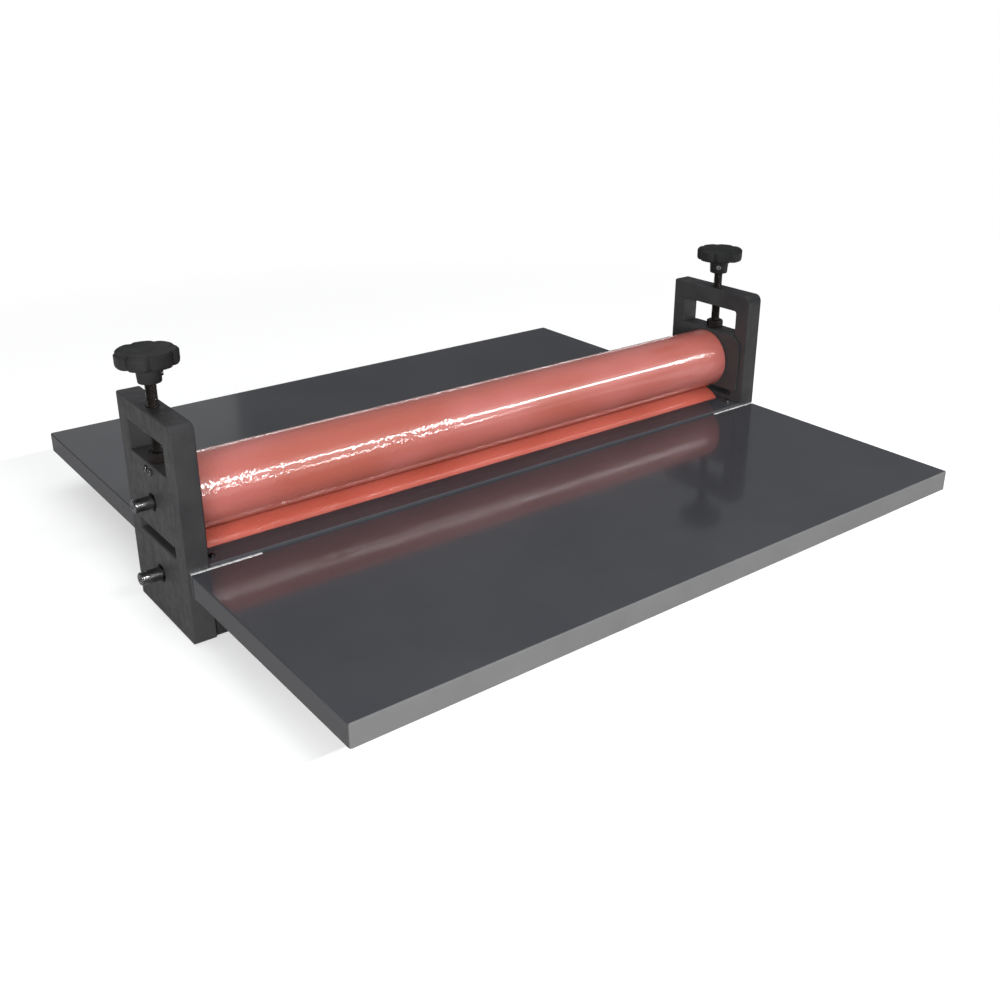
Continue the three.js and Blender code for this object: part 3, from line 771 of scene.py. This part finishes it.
def bracket(end_name, side_name):
    """A plate on the frame's end face with a ledge under the table, drawn for the rear; its bolt and nut."""
    where = f"{end_name}_{side_name}"
    end, side = ENDS[end_name], SIDES[side_name]
    low, high = extent(where + "_table_bracket")
    t = BRACKET["t"]
    inner_y, outer_y = from_middle(low.y, high.y)
    upright = rounded_rectangle(low.x, low.z, high.x, high.z, [0.5] * 4)
    wall = plate(lambda inset: [(z, x) for x, z in upright(inset)], [], inner_y, inner_y + t, 0.4, "Y")
    table_low, table_high = extent(end_name + "_table")
    table_edge = far_edge(side, table_low.x, table_high.x)
    ledge_top = TABLE_TOP - SHEET - GAP
    ledge_end = min(table_edge - SHEET - GAP, far_edge(side, low.x, high.x) - SHEET)
    ledge_x = span(side, from_middle(low.x, high.x)[0] + 0.2, ledge_end - 0.2)
    ledge = block(ledge_x, (inner_y + 1, outer_y), (ledge_top - t, ledge_top), 0.4)
    bolt = centre(where + "_bracket_bolt")
    nut = centre(where + "_table_nut")
    through_wall = (inner_y - PAST, inner_y + t + PAST)
    through_ledge = (ledge_top - t - PAST, ledge_top + PAST)
    cuts = [rod("Y", HOLE_R["bracket_bolt"], *through_wall, at=(bolt.x, 0, bolt.z), count=32),
            rod("Z", HOLE_R["table_stud"], *through_ledge, at=(nut.x, abs(nut.y), 0), count=32)]
    body = combined(wall, ("UNION", [ledge]), ("DIFFERENCE", cuts))
    piece(where + "_table_bracket", faced(body, end), ZINC)
    place = aim((0, end, 0), (bolt.x, end * (inner_y + t + GAP), bolt.z))
    shape = hex_bolt(BRACKET["bolt_across"], BRACKET["bolt_head"], radius=3, length=14)
    piece(where + "_bracket_bolt", moved(shape, place), ZINC)
    nut_node = where + "_table_nut"
    piece(nut_node, nut_shape(extent(nut_node), across=8, bore=HOLE_R["table_stud"]), ZINC)


def nut_shape(box, across, bore):
    """A hexagonal nut that fills a box's height; the bore is a radius."""
    low, high = box
    at = (low + high) / 2
    levels = hex_levels(across, 0, high.z - low.z)
    levels += [(high.z - low.z, bore + 0.4), (high.z - low.z - 0.4, bore), (0.4, bore), (0, bore + 0.4)]
    return shifted(loft(levels, 48), at.x, at.y, low.z)


def feed_plate(end_name, end):
    """A folded strip that carries the work to the nip, drawn for the rear, and its screws."""
    node = end_name + "_feed_plate"
    low, high = extent(node)
    near, far = from_middle(low.y, high.y)
    top, lip, edge = high.z, high.z - 11, high.z - 2.5
    section = fillet([
        (far, lip, 0.3), (far, top, 2.2), (near, top, 1.2), (near, edge, 0.3),
        (near + SHEET, edge, 0.3), (near + SHEET, top - SHEET, 0.3),
        (far - SHEET, top - SHEET, 0.7), (far - SHEET, lip, 0.3),
    ])
    holes = []
    for side_name in SIDES:
        screw = centre(f"{end_name}_{side_name}_feed_screw")
        at = (screw.x, abs(screw.y), 0)
        holes.append(rod("Z", HOLE_R["feed_plate"], top - 4, top + 2, at=at, count=32))
    body = combined(prism(section, low.x, high.x), ("DIFFERENCE", holes))
    piece(node, faced(body, end), FEED_PAINT)
    for side_name in SIDES:
        name = f"{end_name}_{side_name}_feed_screw"
        screw = centre(name)
        shape = pan_screw(head_r=3, head_h=2, radius=SMALL_SCREW_R, length=10)
        steel = DARK_STEEL if name.startswith("front_left") else STEEL
        piece(name, shifted(shape, screw.x, screw.y, top + GAP), steel)


# ---------------- bearings and rollers


def on_x(node, shape):
    """A shape drawn round Z and its own middle, turned along X and set in a node's place."""
    return shifted(moved(shape, TURN["X"]), *centre(node))


def bearing_outer(node):
    """The outer ring with its two shields; the section is drawn round an empty race."""
    low, high = extent(node)
    w, outer = (high.x - low.x) / 2, (high.z - low.z) / 2
    shield, race, rim = BEARING["shield"], BEARING["race"], BEARING["rim"]
    face, lip = w - BEARING["inset"], w - BEARING["lip"]
    corners = [(outer, -w, 0.6), (outer, w, 0.6), (rim + 0.2, w, 0.2), (rim - 0.2, face, 0.2),
               (shield, face, 0.1), (shield, lip, 0.1), (race, lip, 0.1), (race, -lip, 0.1),
               (shield, -lip, 0.1), (shield, -face, 0.1), (rim - 0.2, -face, 0.2), (rim + 0.2, -w, 0.2)]
    piece(node, on_x(node, loft(profile(corners, 3), 96)), STEEL)


def bearing_inner(node):
    low, high = extent(node)
    w = (high.x - low.x) / 2
    inner, bore = BEARING["inner"], BEARING["bore"]
    corners = [(inner, -w, 0.3), (inner, w, 0.3), (bore, w, 0.5), (bore, -w, 0.5)]
    piece(node, on_x(node, loft(profile(corners, 3), 72)), STEEL)


def roller_core(name, axis_z):
    """A bar with turned journals, shaft ends and a centre hole in each end."""
    node = name + "_roller_core"
    low, high = extent(node)
    rubber_high = extent(name + "_roller_rubber")[1].x
    core_end, shoulder, seat_end = rubber_high + 0.4, INNER_X + GAP / 2, INNER_X + SEAT_DEPTH - 0.1
    core_r = ROLLER_R - RUBBER_T - 0.1
    levels = []
    for direction, tip in ((-1, -low.x), (1, high.x)):
        half = [(tip - 4.5, 0), (tip - 3, 1.2), (tip, 2.6), (tip, STUB_R - 1), (tip - 1, STUB_R)]
        half += [(seat_end + 0.3, STUB_R), (seat_end, STUB_R + 0.2), (seat_end, JOURNAL_R - 0.4)]
        half += [(seat_end - 0.4, JOURNAL_R), (shoulder, JOURNAL_R), (shoulder, COLLAR_R - 0.4)]
        half += [(shoulder - 0.4, COLLAR_R), (core_end + 0.6, COLLAR_R), (core_end, COLLAR_R + 0.6)]
        half += [(core_end, core_r - 0.5), (core_end - 0.5, core_r)]
        half = [(direction * x, r) for x, r in half]
        levels += half if direction < 0 else half[::-1]
    shape = moved(loft(levels, 96), TURN["X"])
    piece(node, shifted(shape, 0, 0, axis_z), STEEL)


def roller_rubber(name, axis_z, material):
    node = name + "_roller_rubber"
    low, high = extent(node)
    bore = ROLLER_R - RUBBER_T
    corners = [(ROLLER_R, low.x, 1.2), (ROLLER_R, high.x, 1.2), (bore, high.x, 0.4), (bore, low.x, 0.4)]
    shape = moved(loft(profile(corners, ARC), 256), TURN["X"])
    piece(node, shifted(shape, 0, 0, axis_z), material)


# ---------------- bearing blocks


def bearing_block(name, side):
    """A block that slides in the window, with a flange on the frame's inner face."""
    node = name + "_bearing_block"
    low, high = extent(node)
    half = WINDOW["half"] - BLOCK["clear"]
    outline = rounded_rectangle(-half, BLOCK["low"], half, high.z, [1.5] * 4)
    body = plate(outline, [], *span(side, INNER_X - BLOCK["overlap"], OUTER_X), 0.8)
    flange_near = INNER_X - GAP
    flange_far = flange_near - BLOCK["flange_t"]
    outline = rounded_rectangle(low.y, low.z, high.y, high.z, [5, 5, 16, 16])
    flange = plate(outline, [], *span(side, flange_near, flange_far), 0.7)
    axis = (0, 0, UPPER_AXIS)
    seat_end = INNER_X + SEAT_DEPTH
    seat = rod("X", SEAT_R, *span(side, seat_end, flange_far - PAST), at=axis, count=96)
    hole_low, hole_r = BLOCK["screw_hole_low"], SCREW_R + 0.4
    screw_hole = loft([(hole_low, 0), (hole_low, hole_r), (high.z - 0.6, hole_r),
                       (high.z + 0.4, hole_r + 1), (high.z + 0.4, 0)], 48)
    cuts = [rod("X", SHAFT_HOLE_R, *span(side, seat_end - PAST, OUTER_X + PAST), at=axis),
            shifted(screw_hole, side * FRAME_X, 0, 0)]
    retainers = {}
    deep = span(side, OUTER_X - HOLE_DEPTH["retaining_screw"], OUTER_X + PAST)
    for end_name in ENDS:
        retainer = f"{name}_{end_name}_retaining_screw"
        retainers[retainer] = at = centre(retainer)
        cuts.append(rod("X", SMALL_SCREW_R + GAP, *deep, at=(0, at.y, at.z), count=24))
    shape = combined(body, ("UNION", [flange]), ("DIFFERENCE", [seat]))
    for cut in cuts:
        shape = combined(shape, ("DIFFERENCE", [cut]))
    piece(node, shape, CAST)
    for retainer, at in retainers.items():
        screw = pan_screw(head_r=3.2, head_h=2, radius=SMALL_SCREW_R, length=18.5)
        place = aim((side, 0, 0), (side * (OUTER_X + GAP), at.y, at.z))
        piece(retainer, moved(screw, place), STEEL)


# ---------------- pressure screws and knobs


def thread(height):
    """Radius by angle of a right-hand thread at a height."""
    def radius(angle):
        turn = (height / PITCH - angle / (2 * math.pi)) % 1.0
        groove = min(1.0, max(0.0, 1.25 * (1 - abs(2 * turn - 1)) - 0.1))
        return SCREW_R - THREAD_DEPTH * groove
    return radius


def pressure_screw(name):
    node = name + "_pressure_screw"
    low, high = extent(node)
    step = PITCH / 8
    chamfer = 1.0
    levels = [(low.z, 0), (low.z, SCREW_R - 1.2), (low.z + 0.8, SCREW_R - 0.3)]
    levels += [(NECK["low"] - 0.4, SCREW_R - 0.3), (NECK["low"], SCREW_R - 0.7), (NECK["low"], NECK["r"])]
    levels += [(NECK["high"], NECK["r"]), (NECK["high"], SCREW_R - 1)]
    count = int((high.z - NECK["high"] - chamfer) / step)
    for k in range(1, count):
        height = NECK["high"] + k * step
        levels.append((height, thread(height)))
    levels += [(high.z - 0.6, SCREW_R - 1), (high.z, SCREW_R - 1.5), (high.z, 0)]
    piece(node, shifted(loft(levels, 32), centre(node).x, 0, 0), BLACK, sharp=50)


def knob(name):
    """A moulded knob: broad lobes with narrow hollows, a dished top, a hollow underside and a hub."""
    node = name + "_knob"
    low, high = extent(node)
    at_x = SIDES[name] * FRAME_X

    def lobed(inset, share=1.0):
        """The lobed outline moved inwards, with a share of its hollows left."""
        def radius(angle):
            hollow = abs(math.cos(angle * KNOB["lobes"] / 2)) ** 12
            return KNOB["r"] - inset - KNOB["hollow"] * share * hollow
        return radius

    top, rim_low = high.z, high.z - KNOB["rim"]
    hub_low, hub_r = low.z, KNOB["hub_r"]
    bore, bore_top = SCREW_R + GAP, high.z - KNOB["bore_depth"]
    levels = [(bore_top, 0), (bore_top, bore), (hub_low + 0.5, bore), (hub_low, bore + 0.5)]
    levels += [(hub_low, hub_r - 0.8), (hub_low + 0.25, hub_r - 0.25), (hub_low + 0.8, hub_r)]
    levels += [(rim_low - 1.5, hub_r + 0.9), (rim_low + 1.5, hub_r + 1.4), (rim_low + 3, hub_r + 3)]
    levels += [(rim_low + 3, lobed(5.5, 0.8)), (rim_low + 2.4, lobed(4.6, 0.9))]
    levels += [(rim_low + 0.8, lobed(4.2, 0.95)), (rim_low + 0.2, lobed(3.8)), (rim_low, lobed(3.2))]
    levels += [(rim_low, lobed(2.2)), (rim_low + 0.5, lobed(1.1))]
    levels += [(rim_low + 1.5, lobed(0.35)), (rim_low + 3, lobed(0))]
    levels += [(top - 2.4, lobed(0)), (top - 1.9, lobed(0.15)), (top - 0.4, lobed(1.6)), (top, lobed(2.1))]
    levels += [(top - 0.05, lobed(2.8, 0.95)), (top - 0.35, lobed(4.2, 0.6)), (top - 0.8, lobed(6.5, 0.2))]
    levels += [(top - 1.2, 17.5), (top - 1.6, 13), (top - 1.85, 8), (top - 1.95, 3), (top - 1.96, 0)]
    shape = shifted(loft(levels, KNOB["lobes"] * 20), at_x, 0, 0)
    screw = centre(node + "_set_screw")
    out = Vector((screw.x - at_x, screw.y, 0)).normalized()
    place = Vector((at_x, 0, screw.z))
    hole = moved(set_screw_hole(near=2, far=12.5), aim(out, place))
    piece(node, combined(shape, ("DIFFERENCE", [hole])), PLASTIC)
    seat = place + out * (SCREW_R + GAP + SET_SCREW["length"])
    piece(node + "_set_screw", moved(set_screw(), aim(out, seat)), STEEL)


def pressure_set(name):
    pressure_screw(name)
    nut_node = name + "_thrust_nut"
    piece(nut_node, nut_shape(extent(nut_node), across=17, bore=SCREW_R + GAP / 2), BLACK)
    knob(name)


# ---------------- crank


def tapered_outline(length, small, big):
    """An arm's outline round two bosses, as a function of an inset; the big one is at the origin."""
    lean = math.asin((big - small) / length)

    def loop(inset):
        points = []
        for centre_u, radius, start, end in (
            (0, big - inset, math.pi / 2 - lean, math.pi * 1.5 + lean),
            (length, small - inset, lean - math.pi / 2, math.pi / 2 - lean),
        ):
            for k in range(25):
                angle = start + (end - start) * k / 24
                points.append((centre_u + radius * math.cos(angle), radius * math.sin(angle)))
        return points
    return loop


def crank():
    """Arm, grip and fasteners, drawn with the arm along +Y and turned to where the CAD holds the grip."""
    arm_x = extent("crank_arm")[1].x
    reach = Vector((GRIP_AXIS.y, GRIP_AXIS.z - UPPER_AXIS))
    turn = Matrix.Rotation(math.atan2(reach.y, reach.x), 4, "X")
    place = Matrix.Translation((arm_x, 0, UPPER_AXIS)) @ turn
    at_grip = place @ Matrix.Translation((0, reach.length, 0))
    hub_r, hub_t, arm_t = CRANK["hub_r"], CRANK["hub_t"], CRANK["arm_t"]

    arm = plate(tapered_outline(reach.length, CRANK["eye_r"], hub_r), [], -arm_t, 0, 1.2)
    hub = loft([(-hub_t, 0), (-hub_t, hub_r - 1), (1 - hub_t, hub_r), (-2, hub_r), (-2, 0)], 72)
    bolt_r, head_r = CRANK["bolt_r"], CRANK["bolt_head_r"]
    cuts = [rod("X", STUB_R + GAP, -hub_t - PAST, PAST, count=64),
            rod("X", bolt_r + GAP, -arm_t - PAST, PAST, at=(0, reach.length, 0), count=40)]
    screw_x, down = 6 - hub_t, (0, -1, 0)
    hole = moved(set_screw_hole(near=3, far=hub_r + PAST), aim(down, (screw_x, 0, 0)))
    shape = combined(arm, ("UNION", [moved(hub, TURN["X"])]), ("DIFFERENCE", cuts), ("DIFFERENCE", [hole]))
    piece("crank_arm", moved(shape, place), BLACK)
    screw = moved(set_screw(), aim(down, (screw_x, -STUB_R - GAP - SET_SCREW["length"], 0)))
    piece("crank_set_screw", moved(screw, place), STEEL)

    grip_end = extent("crank_grip")[1].x - arm_x
    head = grip_end + GAP
    bolt = [(-arm_t, 0), (-arm_t, bolt_r - 0.6), (0.6 - arm_t, bolt_r), (head, bolt_r)]
    bolt += [(head, head_r - 0.4), (head + 0.4, head_r), (head + 2.6, head_r)]
    bolt += [(head + 3.5, head_r - 0.5), (head + 3.9, head_r - 1.4), (head + 4, 3.4)]
    bolt += [(head + 4, hexagon(5, 5)), (head + 1.6, hexagon(5, 5)), (head + 1.1, 0)]
    piece("crank_grip_bolt", moved(moved(loft(bolt, 72), TURN["X"]), at_grip), STEEL)

    length = grip_end - GAP
    swell = [(0, 9.0), (0.6, 9.5), (3.5, 9.6), (4.4, 9.2), (5.2, 9.6)]
    for k in range(1, 17):
        share = k / 17
        bulge = math.sin(math.pi * share) ** 0.7
        swell.append((5.2 + (length - 9.2) * share, 10.0 + 2.5 * bulge))
    swell += [(length - 3, 10.3), (length - 1.2, 10.1), (length - 0.3, 9.3), (length, 8.4)]
    swell += [(length, 5), (length - 0.4, 4.5), (0.4, 4.5), (0, 5)]
    grip = loft([(x + GAP, r) for x, r in swell], 72)
    piece("crank_grip", moved(moved(grip, TURN["X"]), at_grip), PLASTIC)


# ---------------- the machine

for side_name, side_sign in SIDES.items():
    side_frame(side_name, side_sign)
    bearing_block(side_name, side_sign)
    pressure_set(side_name)
    for roller_name in ("lower", "upper"):
        bearing_outer(f"{side_name}_{roller_name}_bearing_outer")
        bearing_inner(f"{side_name}_{roller_name}_bearing_inner")

base_channel()
for end_label, end_sign in ENDS.items():
    table(end_label, end_sign)
    feed_plate(end_label, end_sign)
    for side_name in SIDES:
        bracket(end_label, side_name)

roller_core("lower", LOWER_AXIS)
roller_core("upper", UPPER_AXIS)
roller_rubber("lower", LOWER_AXIS, LOWER_RUBBER)
roller_rubber("upper", UPPER_AXIS, UPPER_RUBBER)
crank()

# ---------------- studio

CAMERA_PLACE = (-0.6498, -0.8783, 0.5194)
CAMERA_TURN = (-38.306, 22.308, 0.357)  # azimuth, elevation and roll in degrees
LENS = 40.13
LENS_SHIFT = (-0.0179, -0.0471)
ROLLER_MIDDLE = (0, 0, UPPER_AXIS * MM)  # of the upper one, in metres

WHITE = (1, 1, 1, 1)
ROOM_TINT = (0.93, 0.96, 1.0, 1)
ROOM_STRENGTH = 0.42  # overhead; it falls to nothing at the horizon
FLOOR_TONE = {"lit": 0.30, "seen": 0.88}
FLOOR_FADE = (0.35, 1.3)  # metres from the middle, over which the floor turns white
FLOOR_DROP = 0.0003  # metres below the machine's feet


def camera():
    data = bpy.data.cameras.new("camera")
    data.lens = LENS
    data.shift_x, data.shift_y = LENS_SHIFT
    data.clip_start, data.clip_end = 0.05, 60
    seen = placed("camera", data)
    azimuth, elevation, roll = (math.radians(angle) for angle in CAMERA_TURN)
    back = Vector((math.sin(azimuth) * math.cos(elevation),
                   -math.cos(azimuth) * math.cos(elevation), math.sin(elevation)))
    right = (-back).cross(Vector((0, 0, 1))).normalized()
    up = right.cross(-back)
    rolled_right = right * math.cos(roll) + up * math.sin(roll)
    rolled_up = up * math.cos(roll) - right * math.sin(roll)
    turn = Matrix((rolled_right, rolled_up, back)).transposed().to_4x4()
    seen.matrix_world = Matrix.Translation(CAMERA_PLACE) @ turn
    bpy.context.scene.camera = seen


def lamp(name, place, target, size, power):
    """A soft rectangular light that faces its target and isn't seen by the camera."""
    data = bpy.data.lights.new(name, "AREA")
    data.shape = "RECTANGLE"
    data.size, data.size_y = size
    data.energy = power
    light = placed(name, data)
    direction = Vector(target) - Vector(place)
    side = Vector((1, 0, 0))
    back = -direction.normalized()
    across = (side - back * side.dot(back)).normalized()
    turn = Matrix((across, back.cross(across), back)).transposed().to_4x4()
    light.matrix_world = Matrix.Translation(place) @ turn
    light.visible_camera = False
    return light


def world():
    """White to the camera. The light and the reflections come from a grey room, dark near the floor."""
    made = bpy.data.worlds.new("studio")
    made.use_nodes = True
    nodes, links = made.node_tree.nodes, made.node_tree.links
    nodes.clear()
    path = nodes.new("ShaderNodeLightPath")
    up = nodes.new("ShaderNodeSeparateXYZ")
    links.new(nodes.new("ShaderNodeTexCoord").outputs["Generated"], up.inputs["Vector"])
    height = nodes.new("ShaderNodeMapRange")
    height.inputs["From Max"].default_value = 0.9
    height.inputs["To Max"].default_value = ROOM_STRENGTH
    room, backdrop = nodes.new("ShaderNodeBackground"), nodes.new("ShaderNodeBackground")
    room.inputs["Color"].default_value = ROOM_TINT
    backdrop.inputs["Color"].default_value = WHITE
    mix, output = nodes.new("ShaderNodeMixShader"), nodes.new("ShaderNodeOutputWorld")
    for source, target in (
        (up.outputs["Z"], height.inputs["Value"]),
        (height.outputs["Result"], room.inputs["Strength"]),
        (path.outputs["Is Camera Ray"], mix.inputs["Fac"]),
        (room.outputs[0], mix.inputs[1]),
        (backdrop.outputs[0], mix.inputs[2]),
        (mix.outputs[0], output.inputs["Surface"]),
    ):
        links.new(source, target)
    bpy.context.scene.world = made


def floor():
    """A plain pale floor that fades into the white room. The machine itself gets back less light from it."""
    bm = bmesh.new()
    bmesh.ops.create_grid(bm, x_segments=8, y_segments=8, size=12)
    mesh = to_mesh(bm, "floor")
    ground = placed("floor", mesh)
    ground.location.z = -FLOOR_DROP
    s = Shader("floor_paint", "", metallic=0.0, roughness=0.9)
    seen = s.add("ShaderNodeLightPath").outputs["Is Camera Ray"]
    s.set("Base Color", s.blend(seen, grey(FLOOR_TONE["lit"]), grey(FLOOR_TONE["seen"])))
    away = s.add("ShaderNodeVectorMath", {0: s.place()}, operation="LENGTH").outputs["Value"]
    white = s.add("ShaderNodeEmission", {"Color": WHITE, "Strength": 1.0}).outputs["Emission"]
    share = s.math("MULTIPLY", s.fit(away, FLOOR_FADE, (0.35, 1.0)), seen)
    mix = s.add("ShaderNodeMixShader", {"Fac": share, 1: s.surface.outputs["BSDF"], 2: white})
    s.feed(s.nodes["Material Output"].inputs["Surface"], mix.outputs[0])
    mesh.materials.append(s.material)


def strip(name, x, lean, distance, size, power):
    """A long light along X, at a distance from the upper roller.

    It leans by a number of degrees from straight up towards the feed side.
    """
    angle = math.radians(lean)
    place = (x, -distance * math.sin(angle), UPPER_AXIS * MM + distance * math.cos(angle))
    return lamp(name, place, (x, 0, UPPER_AXIS * MM), size, power)


def falls_on(light, slots):
    """Lets a light fall only on what has a finish of one of the slots."""
    lit = bpy.data.collections.new(light.name + "_falls_on")
    for thing in bpy.context.scene.objects:
        if thing.type == "MESH" and thing.active_material and thing.active_material.get("slot") in slots:
            lit.objects.link(thing)
    light.light_linking.receiver_collection = lit


def plain(light):
    """A light that is not mirrored in glossy surfaces."""
    light.visible_glossy = False
    return light


def mirrored(light):
    """A light that is only seen mirrored in glossy surfaces."""
    light.visible_diffuse = False
    return light


ROUND = ("roller_rubber", "bright_steel", "zinc_plate", "black_steel")
SHEETS = ("table_paint",)
DULL = ("frame_casting", "knob_plastic")
FLOOR = ("",)  # the floor's finish has no slot


def lights():
    """Narrow strips draw the lines of light along the rollers. The broad lights set the tones."""
    plain(lamp("overhead", (-0.3, 0.1, 2.4), ROLLER_MIDDLE, size=(2.4, 1.6), power=27))
    front_strip = strip("front_strip", x=1.15, lean=59, distance=2.0, size=(3.4, 0.06), power=85)
    falls_on(front_strip, ROUND + FLOOR)
    table_light = strip("table_light", x=1.15, lean=59, distance=2.0, size=(3.4, 0.12), power=85)
    falls_on(plain(table_light), SHEETS)
    low_strip = strip("low_strip", x=0.2, lean=79, distance=2.2, size=(2.6, 0.03), power=30)
    falls_on(mirrored(low_strip), ROUND)
    back_strip = strip("back_strip", x=0.9, lean=-81, distance=2.4, size=(4.0, 0.05), power=9)
    falls_on(back_strip, ROUND)
    front_target = (-0.3, 0, UPPER_AXIS * MM)
    plain(lamp("front_fill", (-1.55, -1.95, 0.7), front_target, size=(1.2, 0.9), power=104))
    rear_fill = lamp("rear_fill", (1.9, 1.9, 0.4), ROLLER_MIDDLE, size=(1.2, 0.6), power=60)
    falls_on(plain(rear_fill), ROUND + SHEETS + DULL)
    mirrored(lamp("back_panel", (0.02, 3.0, 1.15), (0.02, 0, 1.15), size=(2.0, 1.3), power=1.7))


camera()
world()
floor()
lights()

bpy.context.scene.view_settings.view_transform = "Standard"

bpy.context.view_layer.update()
